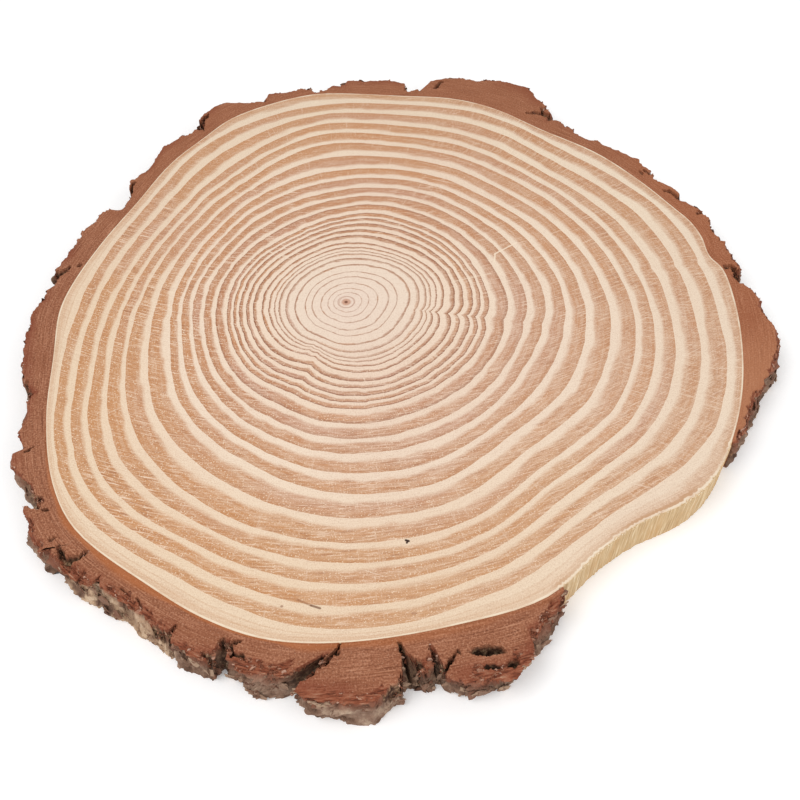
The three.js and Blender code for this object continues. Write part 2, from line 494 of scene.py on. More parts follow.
class Finish(Nodes):
    """A material, with the nodes that make patterns and colours."""

    def __init__(self, name):
        self.material = bpy.data.materials.new(name)
        self.material.use_nodes = True
        self.tree = self.material.node_tree
        self.shader = self.tree.nodes["Principled BSDF"]

    def attribute(self, name):
        return self.add("ShaderNodeAttribute", "Fac", attribute_name=name)

    def times(self, *factors):
        product = factors[0]
        for factor in factors[1:]:
            product = self.math("MULTIPLY", product, factor)
        return product

    def toward(self, vector, way):
        """How far a vector reaches along a direction."""
        return self.vector("DOT_PRODUCT", vector, way)

    def between(self, value, low, high, start=0.0, end=1.0):
        """Eases from start to end while value goes from low to high."""
        inputs = {"Value": value, "From Min": low, "From Max": high, "To Min": start, "To Max": end}
        return self.add("ShaderNodeMapRange", "Result", inputs, interpolation_type="SMOOTHSTEP")

    def mix(self, amount, a, b):
        """Colour b over colour a."""
        node = self.tree.nodes.new("ShaderNodeMix")
        node.data_type = "RGBA"
        self.set(node.inputs[0], amount)
        self.set(node.inputs[6], a)
        self.set(node.inputs[7], b)
        return node.outputs[2]

    def painted(self, under, *coats):
        """Coats of paint over a colour, in order: how strongly each covers, and its screen colour."""
        for amount, colour in coats:
            under = self.mix(amount, under, srgb(*colour))
        return under

    def noise(self, vector, scale=1.0, detail=2.0, roughness=0.5):
        inputs = {"Vector": vector, "Scale": scale, "Detail": detail, "Roughness": roughness}
        return self.add("ShaderNodeTexNoise", "Fac", inputs)

    def cells(self, vector, scale):
        return self.add("ShaderNodeTexVoronoi", "Distance", {"Vector": vector, "Scale": scale})

    def ramp(self, value, stops):
        """Stops give a screen colour, or a plain level, at values from 0 to 1. Between them it blends."""
        node = self.tree.nodes.new("ShaderNodeValToRGB")
        points = node.color_ramp.elements
        while len(points) < len(stops):
            points.new(0.5)
        for point, (place, stop) in zip(points, stops.items()):
            point.position = place
            point.color = srgb(*stop) if isinstance(stop, tuple) else (stop, stop, stop, 1)
        self.set(node.inputs["Fac"], value)
        return node.outputs["Color"]

    def bump(self, height, distance, strength, under=None):
        inputs = {"Height": height, "Distance": distance, "Strength": strength}
        if under is not None:
            inputs["Normal"] = under
        return self.add("ShaderNodeBump", "Normal", inputs)

    def near_line(self, place, start, end, half_width):
        """1 on a straight line between two places on the plan, in mm about the pith, 0 away from it."""
        a = Vector((start[0], start[1], 0)) * MM
        along = Vector((end[0] - start[0], end[1] - start[1], 0)) * MM
        flat = self.vector("MULTIPLY", place, (1, 1, 0))
        from_start = self.vector("SUBTRACT", flat, a)
        reach = self.toward(from_start, along / along.length_squared)
        part = self.add("ShaderNodeClamp", 0, {"Value": reach})
        nearest = self.scaled(tuple(along), part)
        away = self.vector("DISTANCE", from_start, nearest)
        return self.between(away, half_width * MM, half_width * MM * 0.4)

    def surface(self, colour, roughness, specular, relief):
        """What the surface shows: its colour, how matt it is, how much it shines and its relief."""
        values = {"Base Color": colour, "Roughness": roughness, "Specular IOR Level": specular,
                  "Normal": relief}
        for name, value in values.items():
            self.set(self.shader.inputs[name], value)


# %% [markdown]
# Colour of the years
#
# The part of the age after the point says how late in the year the wood grew: pale until the middle of
# the year, then tan, with a sharp edge at the new year. Near the pith the tree made little summer wood,
# so those rings are only thin lines. The start of summer wanders a little from year to year and round
# the ring, and faint finer lines run inside the summer wood.

# %% Wood: colour of the years
sawn = Finish("sawn_wood")
age = sawn.attribute("age")
side = sawn.attribute("side")
place = sawn.add("ShaderNodeTexCoord", "Object")
from_pith = sawn.vector("SUBTRACT", place, (PITH.x, PITH.y, 0))
flat_place = sawn.vector("MULTIPLY", from_pith, (1, 1, 0))
outward = sawn.vector("NORMALIZE", flat_place)
reach = sawn.vector("LENGTH", flat_place)
whole_life = sawn.math("DIVIDE", age, LAST_YEAR)
season = sawn.math("FRACT", age)


def noise_about_pith(round_scale, measure, scale, detail=3, roughness=0.6):
    """Noise that follows the direction about the pith and one more measure, such as age or radius."""
    third = sawn.joined(z=sawn.math("MULTIPLY", measure, scale))
    space = sawn.vector("ADD", sawn.scaled(outward, round_scale), third)
    return sawn.noise(space, 1.0, detail, roughness)


season_wobble = noise_about_pith(4.0, age, 0.8)
summer_start = sawn.ramp(whole_life, {0.0: 0.85, 0.25: 0.85, 0.285: 0.58, 0.42: 0.5, 0.55: 0.33,
                                      0.6: 0.25, 0.85: 0.235, 0.93: 0.27, 1.0: 0.38})
summer_start = sawn.math("ADD", summer_start, sawn.between(season_wobble, 0.3, 0.7, -0.1, 0.1))
summer_length = sawn.ramp(whole_life, {0.0: 0.06, 0.25: 0.06, 0.3: 0.28, 0.7: 0.26})
summer = sawn.between(season, summer_start, sawn.math("ADD", summer_start, summer_length))
strength = sawn.ramp(whole_life, {0.0: 0.72, 0.24: 0.78, 0.27: 0.95, 0.3: 0.74, 0.37: 0.9, 0.42: 1.0})
to_far_left = sawn.toward(outward, (-0.8, 0.6, 0))
strength = sawn.math("MULTIPLY", strength, sawn.between(to_far_left, -0.9, 0.5, 0.84, 1.06))
last_year = sawn.between(age, LAST_YEAR - 1.0, LAST_YEAR - 0.98)
to_far_right = sawn.toward(outward, (0.6, 0.8, 0))
last_loss = sawn.between(to_far_right, -0.5, 0.4, 0.72, 0.12)
strength = sawn.math("MULTIPLY", strength, sawn.math("SUBTRACT", 1.0, sawn.times(last_year, last_loss)))
fine_lines = noise_about_pith(7.0, age, 7.0)
summer = sawn.times(summer, strength, sawn.between(fine_lines, 0.3, 0.72, 1.12, 0.66))

spring_colour = sawn.ramp(whole_life, {0.0: (235, 213, 197), 0.25: (238, 217, 197), 0.45: (240, 216, 193),
                                       0.75: (239, 217, 194), 0.93: (235, 213, 186),
                                       1.0: (234, 214, 189)})
summer_colour = sawn.ramp(whole_life, {0.0: (186, 142, 116), 0.27: (188, 144, 118), 0.4: (171, 114, 79),
                                       0.62: (190, 130, 90), 0.8: (202, 149, 108), 0.95: (198, 146, 103),
                                       1.0: (202, 160, 124)})

# No two summers have quite the same colour.
year_tint = noise_about_pith(1.3, sawn.math("FLOOR", age), 5.3, 1, 0.5)
summer_colour = sawn.mix(sawn.between(year_tint, 0.5, 0.7, 0.0, 0.45), summer_colour, srgb(206, 142, 92))
summer_colour = sawn.mix(sawn.between(year_tint, 0.5, 0.3, 0.0, 0.45), summer_colour, srgb(196, 148, 128))
year_colour = sawn.mix(summer, spring_colour, summer_colour)

# The last days of each early year are the densest, and show as a thin brown line.
year_end = sawn.between(season, 0.8, 0.92)
dense = sawn.ramp(whole_life, {0.0: 0.1, 0.28: 0.45, 0.4: 0.95, 0.58: 0.95, 0.66: 0.3, 0.85: 0.12,
                               1.0: 0.0})
year_colour = sawn.mix(sawn.times(year_end, dense), year_colour, srgb(146, 94, 66))

# The last year has two faint lines where the tree grew little summer wood.
for middle in (LAST_YEAR - 0.58, LAST_YEAR - 0.3):
    from_line = sawn.math("ABSOLUTE", sawn.math("SUBTRACT", age, middle))
    faint = sawn.times(sawn.between(from_line, 0.06, 0.02), last_loss,
                       sawn.between(fine_lines, 0.35, 0.6, 0.3, 0.75))
    year_colour = sawn.mix(faint, year_colour, srgb(200, 156, 120))

# %% [markdown]
# Saw marks, rays and resin dots
#
# A round saw blade leaves fine curved marks right across the slice, all with the blade's radius, and
# they show most in the tan summer wood. A noise that is squeezed across the marks gives them, and a few
# straight scratches cross them the same way. Rays run out from the pith, so their noise is squeezed
# across the radius instead. Resin canals are tiny pale dots in the summer wood.

# %% Wood: saw marks
SAW_RADIUS = 225 * MM
SAW_MIDDLE = -12 * MM

pith_x, pith_y, _ = sawn.split(from_pith)
from_middle = sawn.math("SUBTRACT", pith_x, SAW_MIDDLE)
arc_rise = sawn.math("DIVIDE", sawn.math("MULTIPLY", from_middle, from_middle), 2 * SAW_RADIUS)
across_marks = sawn.math("SUBTRACT", pith_y, arc_rise)


def saw_marks(length_scale, width_scale, layer):
    """Noise drawn out along the saw's arcs."""
    along = sawn.math("MULTIPLY", pith_x, length_scale)
    across = sawn.math("MULTIPLY", across_marks, width_scale)
    return sawn.noise(sawn.joined(along, across, layer), 1.0, 3, 0.6)


fine_marks = saw_marks(130, 1750, 0.0)
broad_marks = saw_marks(45, 420, 5.0)
patches = sawn.noise(from_pith, 32, 2)
mark_force = sawn.times(sawn.between(patches, 0.35, 0.65, 0.5, 1.0),
                        sawn.between(summer, 0.1, 0.8, 0.18, 1.0), sawn.between(pith_y, 0.04, 0.1, 1.0, 0.5))
dark_marks = sawn.times(sawn.between(fine_marks, 0.52, 0.66), mark_force)
pale_marks = sawn.times(sawn.between(fine_marks, 0.47, 0.33), mark_force)
broad_dark = sawn.times(sawn.between(broad_marks, 0.5, 0.75), mark_force)
scratch_along = sawn.times(sawn.toward(from_pith, (0.95, -0.31, 0)), 34)
scratch_across = sawn.times(sawn.toward(from_pith, (0.31, 0.95, 0)), 1500)
scratch_space = sawn.joined(scratch_along, scratch_across)
scratches = sawn.between(sawn.noise(scratch_space, 1.0, 1, 0.5), 0.68, 0.74)
scratches = sawn.times(scratches, sawn.between(patches, 0.45, 0.6), sawn.between(summer, 0.1, 0.8, 0.3, 1.0))

# %% Wood: rays and resin dots
rays = sawn.between(noise_about_pith(110.0, reach, 55, 2), 0.6, 0.74)
short_rays = sawn.between(noise_about_pith(26.0, reach, 230, 1, 0.4), 0.7, 0.76)
young = sawn.between(age, 20.0, 16.0)
late_rays = noise_about_pith(250.0, reach, 170, 2, 0.55)
to_right = sawn.toward(outward, (0.97, 0.24, 0))
late_force = sawn.times(sawn.between(age, 23.0, 26.0), sawn.between(to_right, 0.35, 0.85),
                        sawn.between(summer, 0.0, 0.7, 0.2, 1.0))
dots = sawn.between(sawn.cells(from_pith, 1000.0), 0.27, 0.15)
dust = sawn.noise(from_pith, 2300, 2, 0.7)
tint = sawn.noise(from_pith, 11, 3)

spring = sawn.math("SUBTRACT", 1.0, summer)
late_tint = sawn.times(sawn.between(season, 0.5, 0.95), sawn.between(age, 19.0, 23.0), summer, 0.42)
far_side = sawn.between(pith_y, -0.02, 0.06, 0.0, 0.25)
to_front = sawn.toward(outward, (-0.55, -0.83, 0))
golden = sawn.times(sawn.between(to_front, -0.1, 0.6), sawn.between(age, 22.0, 26.0))
right_side = sawn.between(pith_x, 0.02, 0.1)
to_back_right = sawn.between(sawn.toward(outward, (0.85, 0.52, 0)), 0.3, 0.85, 0.0, 0.3)
left_side = sawn.between(pith_x, 0.0, -0.06, 1.0, 1.4)

# %% Wood: coats of colour
# The wide tints come first, then saw marks, rays and dots, and the fine grain comes last.
coloured = sawn.painted(
    year_colour,
    (sawn.between(tint, 0.4, 0.7, 0.0, 0.14), (205, 160, 142)),
    (late_tint, (198, 136, 84)),
    (sawn.times(far_side, summer, 0.7), (190, 135, 94)),
    (sawn.times(golden, summer, 0.45), (198, 140, 88)),
    (sawn.times(golden, spring, 0.3), (226, 190, 152)),
    (sawn.times(right_side, spring, 0.25), (246, 228, 208)),
    (sawn.times(to_back_right, right_side, summer), (188, 128, 86)),
    (sawn.times(broad_dark, 0.22), (180, 130, 104)),
    (sawn.times(dark_marks, left_side, 0.54), (160, 104, 72)),
    (sawn.times(pale_marks, left_side, 0.6), (246, 222, 198)),
    (sawn.times(scratches, 0.5), (247, 226, 204)),
    (sawn.times(sawn.between(late_rays, 0.54, 0.68), late_force, 0.35), (168, 118, 92)),
    (sawn.times(sawn.between(late_rays, 0.46, 0.34), late_force, 0.35), (246, 226, 202)),
    (sawn.times(rays, sawn.between(summer, 0, 1, 0.1, 0.32)), (238, 214, 190)),
    (sawn.times(short_rays, young, 0.55), (238, 214, 190)),
    (sawn.times(dots, summer, sawn.between(to_front, -0.5, 0.7, 0.3, 0.75)), (250, 228, 200)),
    (sawn.between(dust, 0.5, 0.72, 0.0, 0.34), (172, 128, 102)),
    (sawn.between(dust, 0.48, 0.3, 0.0, 0.36), (252, 236, 216)),
)
print("wood has", len(sawn.tree.nodes), "nodes so far")

# %% [markdown]
# Single marks on the face
#
# A few single things make this slice this slice: the pith, a resin streak, a dark speck, a zig-zag
# scratch, and the pale line of the newest wood at the rim. Each line is the distance from a straight
# stretch, turned into a soft mask.

# %% Wood: single marks
# start and end in mm about the pith, half width in mm, strength, colour
LINES = [
    ((62, 24), (62.5, 29), 0.5, 0.8, srgb(245, 225, 200)),
    ((62.5, 29), (72, 36), 0.5, 0.8, srgb(245, 225, 200)),
    ((44, 12), (60, 17), 0.45, 0.5, srgb(245, 225, 200)),
    ((84, 40), (96, 46), 0.35, 0.4, srgb(240, 216, 190)),
    ((-19, -131.5), (-11, -135.2), 0.9, 0.4, srgb(190, 128, 80)),
    ((-11, -135.2), (-6.5, -137.2), 0.5, 0.6, srgb(150, 98, 62)),
    ((-6.5, -137.2), (-3.6, -138.2), 0.55, 0.8, srgb(118, 78, 54)),
    ((24.0, -112.9), (24.9, -113.2), 0.6, 1.0, srgb(52, 32, 25)),
    ((24.5, -113.3), (24.3, -113.9), 0.5, 1.0, srgb(60, 38, 29)),
    ((-16, -137.5), (-15.8, -137.5), 0.6, 0.7, srgb(150, 104, 78)),
    ((26, -140), (27, -140), 0.6, 0.5, srgb(160, 112, 86)),
]
for start, end, half_width, force, line_colour in LINES:
    mask = sawn.near_line(from_pith, start, end, half_width)
    coloured = sawn.mix(sawn.times(mask, force), coloured, line_colour)

# The pith is a tan ring, a fine line round it and a dark middle.
PITH_LINE = 3.3 * MM
from_pith_line = sawn.math("ABSOLUTE", sawn.math("SUBTRACT", reach, PITH_LINE))
bare = sawn.attribute("bare")
before_newest = sawn.times(sawn.between(age, LAST_YEAR - 0.26, LAST_YEAR - 0.18),
                           sawn.between(age, LAST_YEAR - 0.05, LAST_YEAR - 0.09),
                           sawn.between(bare, 0.0, 1.0, 0.2, 0.7),
                           sawn.between(patches, 0.4, 0.56, 0.25, 1.0))
newest = sawn.times(sawn.between(age, LAST_YEAR - 0.1, LAST_YEAR - 0.06),
                    sawn.between(sawn.noise(from_pith, 120, 3), 0.35, 0.6, 0.25, 0.8))
coloured = sawn.painted(
    coloured,
    (sawn.between(reach, 2.6 * MM, 1.1 * MM, 0.0, 0.8), (198, 144, 116)),
    (sawn.between(from_pith_line, 0.4 * MM, 0.1 * MM, 0.0, 0.5), (176, 126, 104)),
    (sawn.between(reach, 0.9 * MM, 0.5 * MM, 0.0, 0.9), (116, 70, 50)),
    (before_newest, (192, 144, 104)),
    (newest, (242, 226, 202)),
)

# %% [markdown]
# The bare rim
#
# Where the bark has broken away, the rim shows wood fibres standing upright. It has yellowed in the
# air, and it has pale torn fibres and a few darker streaks. The same noise trick works again, squeezed
# round the rim this time.

# %% Wood: the bare rim and the surface
WOOD_SHINE = 0.25

fibre_space = sawn.vector("MULTIPLY", place, (1500, 1500, 60))
fibres = sawn.noise(fibre_space, 1.0, 3, 0.65)
broad_fibres = sawn.noise(sawn.vector("MULTIPLY", place, (260, 260, 40)), 1.0, 3)
rim_colour = sawn.ramp(fibres, {0.3: (174, 138, 96), 0.44: (201, 169, 125), 0.58: (214, 185, 143),
                                0.7: (242, 225, 192)})
rim_colour = sawn.mix(sawn.between(broad_fibres, 0.48, 0.7, 0.0, 0.5), rim_colour, srgb(204, 160, 108))
coloured = sawn.mix(side, coloured, rim_colour)

on_face = sawn.math("SUBTRACT", 1.0, side)
relief = sawn.bump(sawn.times(fine_marks, on_face), 0.08 * MM, 0.5)
relief = sawn.bump(sawn.times(fibres, side), 0.3 * MM, 0.7, relief)
sawn.surface(coloured, sawn.between(fine_marks, 0.2, 0.8, 0.6, 0.75), WOOD_SHINE, relief)
wood.data.materials.append(sawn.material)
print("wood material has", len(sawn.tree.nodes), "nodes")

# %% [markdown]
# The bark
#
# Pine bark is a stack of thin corky layers, split into plates by upright fissures. The saw cut goes
# straight through it, so its top is a flat face with fine lines along the rim, and its outside is rough
# and layered. The bark is a long strip of cross-sections that follows the design's solid: rays measure
# how far it stands out in each direction and at each height, and small wear is added on top. Fissures
# don't point at the pith but lean over, so every section leans too, most beside the big fissures.

# %% Bark: sections and their lean
BARK_FROM, BARK_TO = -26.4, 299.9
STATIONS = 1300
FRONT_FROM = 222.0
FRONT_SHARE = 0.45
# direction in the design, turn in degrees at the wood and at the outside, reach in degrees either side
LEANS = [(266.7, 4.6, -1.3, 7.5), (279.0, -0.9, 0.6, 3.5), (222, 2.6, 0, 6), (213, 1.0, 0, 4),
         (231, 3.0, 0, 5), (172, -2, 0, 5), (146.5, 1.5, 0, 4), (109, -2.0, 0, 5), (77, 1.8, 0, 4),
         (93, -1.8, 0, 4), (52.5, 1.5, 0, 4), (30.5, -1.5, 0, 3)]

round_stations = int(STATIONS * (1 - FRONT_SHARE))
design_degrees = np.concatenate([np.linspace(BARK_FROM, FRONT_FROM, round_stations, endpoint=False),
                                 np.linspace(FRONT_FROM, BARK_TO, STATIONS - round_stations)])


def leaned(degrees, end):
    """Directions of the sections at the wood, end 1, or at the outside, end 2."""
    total = degrees.copy()
    for fissure in LEANS:
        total += fissure[end] * np.exp(-((degrees - fissure[0]) / fissure[3]) ** 2)
    return total


inner_degrees = leaned(design_degrees, 1)
outer_degrees = leaned(design_degrees, 2)
bark_rim = rim_radius(design_degrees)
rim_x, rim_y = on_plan(design_degrees, bark_rim)
along_rim = np.concatenate([[0], np.cumsum(np.hypot(np.diff(rim_x), np.diff(rim_y)))])
print("bark runs", round(along_rim[-1] / MM), "mm round the rim in", STATIONS, "sections, least turn",
      round(float(np.diff(inner_degrees).min()), 3), "degrees")

# %% Bark: thickness from the design
MEASURED_HEIGHTS = np.linspace(0.02, 0.98, 7)
LEAST_THICKNESS = 0.5 * MM

measured = [[outside_radius(bark_tree, d, TOP * h) for d in design_degrees] for h in MEASURED_HEIGHTS]
stand_out = np.maximum(np.array(measured) - bark_rim, LEAST_THICKNESS)
print("bark stands out up to", round(stand_out.max() / MM, 1), "mm")


def bark_thickness(height):
    """Thickness at every section at a height from 0, the underside, to 1, the top."""
    return np.array([np.interp(height, MEASURED_HEIGHTS, column) for column in stand_out.T])


def closed_over(thickness, reach):
    """Thickness with narrow fissures bridged: the highest near by, then the lowest of those."""
    highest = thickness.copy()
    for shift in range(-reach, reach + 1):
        highest = np.maximum(highest, np.roll(thickness, shift))
    lowest = highest.copy()
    for shift in range(-reach, reach + 1):
        lowest = np.minimum(lowest, np.roll(highest, shift))
    return lowest


FISSURE_REACH = 9
bridged = closed_over(stand_out[3], FISSURE_REACH)

# %% [markdown]
# Wear on the outside of the bark
#
# Three kinds of wear give the outside its look: flakes that have come off in steps, which leave
# terraces, narrow upright cracks, and a fine corky grain. Terraces come from rounding a smooth noise to
# a few levels. Lower down, a fissure is filled with broken bark, so it doesn't cut right through.

# %% Bark: wear
FILL_BELOW = 2.2 * MM
FULLY_DEEP = 5 * MM  # depth from which a fissure or a hole counts as fully deep


def terraces(value):
    """Rounds a smooth height to steps with short slopes between them."""
    level = np.floor(value)
    part = np.clip((value - level - 0.62) / 0.38, 0, 1)
    return level + part * part * (3 - 2 * part)


def ease(value):
    """Smooth step from 0 to 1."""
    part = np.clip(value, 0, 1)
    return part * part * (3 - 2 * part)


def layered_noise(x, y, offset, fineness, octaves, step=2.1):
    """Noise in layers that get finer, at every pair of x and y."""
    return np.array([noise.fractal(Vector((a, b, offset)), fineness, step, octaves) for a, b in zip(x, y)])


def rim_noise(stretch, lift, offset, octaves=3):
    """Noise along the rim, in features per millimetre, at a height."""
    return layered_noise(along_rim / MM * stretch, np.full(STATIONS, lift), offset, 0.85, octaves)


def outside_wear(height):
    """How far the worn outside stands from the design's, at every section."""
    lift = height * THICKNESS / MM
    flaking = terraces(rim_noise(0.1, lift * 0.16, 2, 4) * 3.4)
    cracks = np.clip(1 - np.abs(rim_noise(0.11, lift * 0.05, 5, 2)) / 0.05, 0, 1) ** 1.5
    grain = rim_noise(0.75, lift * 0.9, 8)
    return (0.7 * flaking - 0.9 * cracks + 0.42 * grain) * MM


def outside_at(height):
    """Distance of the worn outside beyond the rim at a height from 0 to 1, and its depth in fissures."""
    out = bark_thickness(height) + outside_wear(height)
    filled = np.maximum(out, bridged - FILL_BELOW + 0.8 * MM * rim_noise(0.5, height * 9, 14))
    out = out + (filled - out) * ease((0.86 - height) / 0.5)
    return np.maximum(out, LEAST_THICKNESS), np.clip((bridged - out) / FULLY_DEEP, 0, 1)


# %% [markdown]
# Cracks, pits and broken edges of the sawn face
#
# Fissures also open on the sawn face, where they run in from the outside at a slant, and there are
# small pits where a layer has come away. Along the outer edge the bark has often broken off below the
# saw cut, which leaves a lower, ragged shoulder. Cracks and pits are given in millimetres about the
# pith, shoulders by direction.

# %% Bark: cracks, pits and shoulders
# each crack: points in mm about the pith, width at its inner end, width at its outer end, depth
CRACKS = [
    ([(3.6, -150.8), (2.3, -152.4), (2.0, -153.5), (0.2, -154.9), (-1.2, -156.2)], 0.4, 1.4, 5),
    ([(-0.6, -155.8), (-2.5, -157), (-5, -158.6), (-7.5, -160.2), (-12.5, -163)], 1.4, 3.4, 9),
    ([(22, -150.6), (22.2, -151.6)], 1.1, 1.1, 10),
    ([(22.2, -152), (24, -154), (25.6, -155.4), (26, -157), (27.5, -161)], 0.6, 1.7, 9),
    ([(31.2, -151.8), (32.8, -154), (32.4, -155), (34.3, -156.6), (35.2, -158.5), (34.5, -163)], 0.5, 1.8, 8),
    ([(39.2, -154.2), (37.6, -156.6), (36.2, -157.8), (35.2, -159.5)], 0.6, 1.8, 7),
    ([(28.2, -156.5), (29.6, -158.4), (29, -160.5)], 0.6, 1.2, 4),
    ([(27.5, -157), (24, -163), (18.5, -170)], 2.0, 7.5, 7.5),
    ([(-7, -160.5), (-13, -165), (-19, -168)], 1.5, 4.5, 5),
    ([(-34, -149.8), (-31.5, -150.8), (-30, -153.5), (-26, -155.2)], 1.4, 0.9, 6),
    ([(-32, -150), (-28, -149.6)], 0.9, 0.5, 3),
    ([(-38.5, -153.6), (-36, -154), (-33.5, -154.5)], 1.2, 2.2, 12),
    ([(-82.6, -117.2), (-85, -119.6), (-88, -120.6)], 1.0, 2.2, 4),
    ([(-92.5, -115.5), (-90.6, -118.5), (-88, -122.5)], 1.2, 3.2, 3.2),
    ([(-49, -145), (-52.5, -147), (-57, -144)], 0.7, 2.4, 7),
    ([(-63, -134.6), (-61.2, -137), (-60.6, -141)], 0.5, 1.2, 2),
    ([(-68, -131), (-65.8, -133.4), (-65.6, -137)], 0.5, 1.2, 1.6),
    ([(-102.5, -97.5), (-104.5, -95.5), (-108, -92)], 0.6, 1.2, 4),
    ([(-103, -99.5), (-105.5, -98.5), (-108.5, -96)], 1.0, 1.6, 14),
    ([(-99.8, -100.7), (-99.5, -100.6)], 1.0, 1.0, 5),
    ([(-111.5, -75.5), (-113.5, -74.8), (-115, -73.5), (-116.5, -71)], 0.9, 1.2, 5),
    ([(-117.5, -48.5), (-119.5, -46), (-121, -43)], 1.0, 2.6, 7),
    ([(-117, 21), (-119, 18), (-122, 17)], 0.8, 2.2, 6),
    ([(-99.5, 77), (-100.2, 72), (-100.5, 66)], 1.0, 1.6, 7),
    ([(-72.5, 129), (-74, 124), (-74.5, 118)], 1.2, 2.2, 7),
    ([(-22, 151), (-24.5, 152), (-27, 153)], 0.8, 1.6, 5),
    ([(27, 153), (30, 153.4), (33, 153)], 0.5, 0.8, 4),
    ([(39.8, 152), (40.6, 154.5), (43.5, 158.5)], 0.5, 1.0, 4),
    ([(84.5, 131), (88, 131.5), (92, 130), (96, 128)], 0.7, 2.6, 7),
    ([(92.5, 129), (92, 134), (94.5, 136)], 0.8, 1.5, 6),
    ([(133, 84), (135, 85.5), (138, 84)], 0.7, 1.6, 5),
    ([(141.5, 71.5), (144, 70.5), (147.5, 67)], 0.8, 2.2, 6),
    ([(153.5, 55), (155, 56.5), (157.5, 56)], 0.6, 1.4, 5),
    ([(159, 21), (161.5, 21.5), (163, 18), (164, 13)], 0.8, 2.8, 7),
]
# each pit: middle in mm about the pith, half length, half width, slant in degrees, depth
PITS = [
    (49.3, -152.7, 4.7, 1.35, 3, 6), (50.5, -157.8, 2.3, 0.7, 2, 4), (57.2, -156.6, 1.8, 0.9, 12, 5),
    (-113.5, 22, 0.9, 0.6, 60, 3), (40, -153, 0.5, 0.5, 0, 3), (-95, -112, 1.0, 0.6, 40, 2),
]
# each shoulder: from and to in degrees, width in mm, depth in mm at the outer edge
SHOULDERS = [
    (284, 293, 5.5, 1.7), (292, 299.6, 2.4, 2.6), (278.8, 283, 3.5, 3), (267.3, 277.6, 2.8, 1.6),
    (257.5, 266.6, 4.0, 1.7), (251.3, 257.4, 2.4, 2), (239, 251, 2.6, 2.2), (231.5, 238.8, 3.8, 3.4),
    (222.5, 230.4, 2.0, 3),
    (213, 221, 0.8, 1.5), (147, 152, 1.6, 2), (122, 128, 1.5, 1.6), (94, 99, 1.8, 2), (77, 81, 2.6, 3),
    (60, 70, 1.6, 1.5), (-14, 3, 1.6, 2), (-26.4, -15, 1.6, 3), (5, 13, 2, 2),
]
LEAST_SHOULDER = 0.45  # mm
SHOULDER_EASE = 2.5  # degrees over which a shoulder begins and ends
RAGGED = 0.9  # mm that the walls of holes wander
FLOOR_ROUGHNESS = 0.45  # share by which the depth of a crack varies


def sink_near_line(x, y, points, inner_width, outer_width, depth):
    """Depth in mm to which the face sinks near a crack, as a steep-sided groove."""
    sunk = np.zeros_like(x)
    pieces = len(points) - 1
    for index in range(pieces):
        (ax, ay), (bx, by) = points[index], points[index + 1]
        length_squared = (bx - ax) ** 2 + (by - ay) ** 2
        part = np.clip(((x - ax) * (bx - ax) + (y - ay) * (by - ay)) / length_squared, 0, 1)
        away = np.hypot(x - ax - part * (bx - ax), y - ay - part * (by - ay))
        half = 0.5 * (inner_width + (outer_width - inner_width) * (index + part) / pieces)
        sunk = np.maximum(sunk, depth * np.clip((half + 0.3 - away) / 0.6, 0, 1))
    return sunk


def sink_in_pit(x, y, middle_x, middle_y, half_length, half_width, slant, depth):
    """Depth in mm to which the face sinks in an oval pit."""
    turn = math.radians(slant)
    along = (x - middle_x) * math.cos(turn) + (y - middle_y) * math.sin(turn)
    across = (y - middle_y) * math.cos(turn) - (x - middle_x) * math.sin(turn)
    away = (np.hypot(along / half_length, across / half_width) - 1) * half_width
    return depth * np.clip((0.35 - away) / 0.6, 0, 1)


def hole_depth(x, y):
    """Depth in metres of the cracks and of the pits in the sawn face at places on the plan."""
    px = (x - PITH.x) / MM
    py = (y - PITH.y) / MM
    shift_x = RAGGED * layered_noise(px * 0.5, py * 0.5, 1, 0.9, 2)
    shift_y = RAGGED * layered_noise(px * 0.5, py * 0.5, 6, 0.9, 2)
    px = px + shift_x
    py = py + shift_y
    sunk = np.zeros_like(px)
    for points, inner_width, outer_width, depth in CRACKS:
        sunk = np.maximum(sunk, sink_near_line(px, py, points, inner_width, outer_width, depth))
    in_pit = np.zeros_like(px)
    for pit in PITS:
        in_pit = np.maximum(in_pit, sink_in_pit(px, py, *pit))
    rough = layered_noise(px * 0.8, py * 0.8, 12, 0.8, 3)
    return sunk * np.clip(1 + FLOOR_ROUGHNESS * rough, 0.5, 1.4) * MM, in_pit * MM


def shoulder_shape():
    """Width and depth in metres of the broken shoulder at every section."""
    width = np.full(STATIONS, LEAST_SHOULDER) + 0.8 * np.clip(rim_noise(0.03, 0, 21), 0, 1)
    depth = np.full(STATIONS, 1.2)
    for start, end, wide, deep in SHOULDERS:
        inside = ease((design_degrees - start) / SHOULDER_EASE) * ease((end - design_degrees) / SHOULDER_EASE)
        width = width + (wide - width) * inside
        depth = depth + (deep - depth) * inside
    width = width * (1 + 0.55 * rim_noise(0.22, 0, 31))
    return np.maximum(width, 0.2) * MM, depth * MM


def shoulder_sink(from_edge, layer_noise, width, depth):
    """Depth of the shoulder at a distance from the outer edge, and 1 where the saw cut is gone."""
    into = width - from_edge
    step = ease(into / (0.5 * MM))
    slope = np.clip(into / width, 0, 1)
    ridges = 0.28 * layer_noise * step
    return depth * np.clip(0.3 * step + 0.7 * slope + ridges, 0, 1.15), step


# %% [markdown]
# Sections of the bark
#
# Every section is a closed loop of points: out over the sawn face, down the rough outside, back along
# the underside and up the wall that lies against the wood. A small groove where bark meets wood keeps
# the two apart to the eye.

# %% Bark: mesh
FACE_STEPS = 46
OUTSIDE_STEPS = 17
UNDER_STEPS = 3
GROOVE = 0.15 * MM
FOOT_EDGE = 0.08 * MM
LEFT_UNDER_HOLES = 0.35  # share of the thickness that even the deepest hole leaves
BARK_MARKS = ("cut", "worn", "deep", "layer", "along", "part", "pitted")


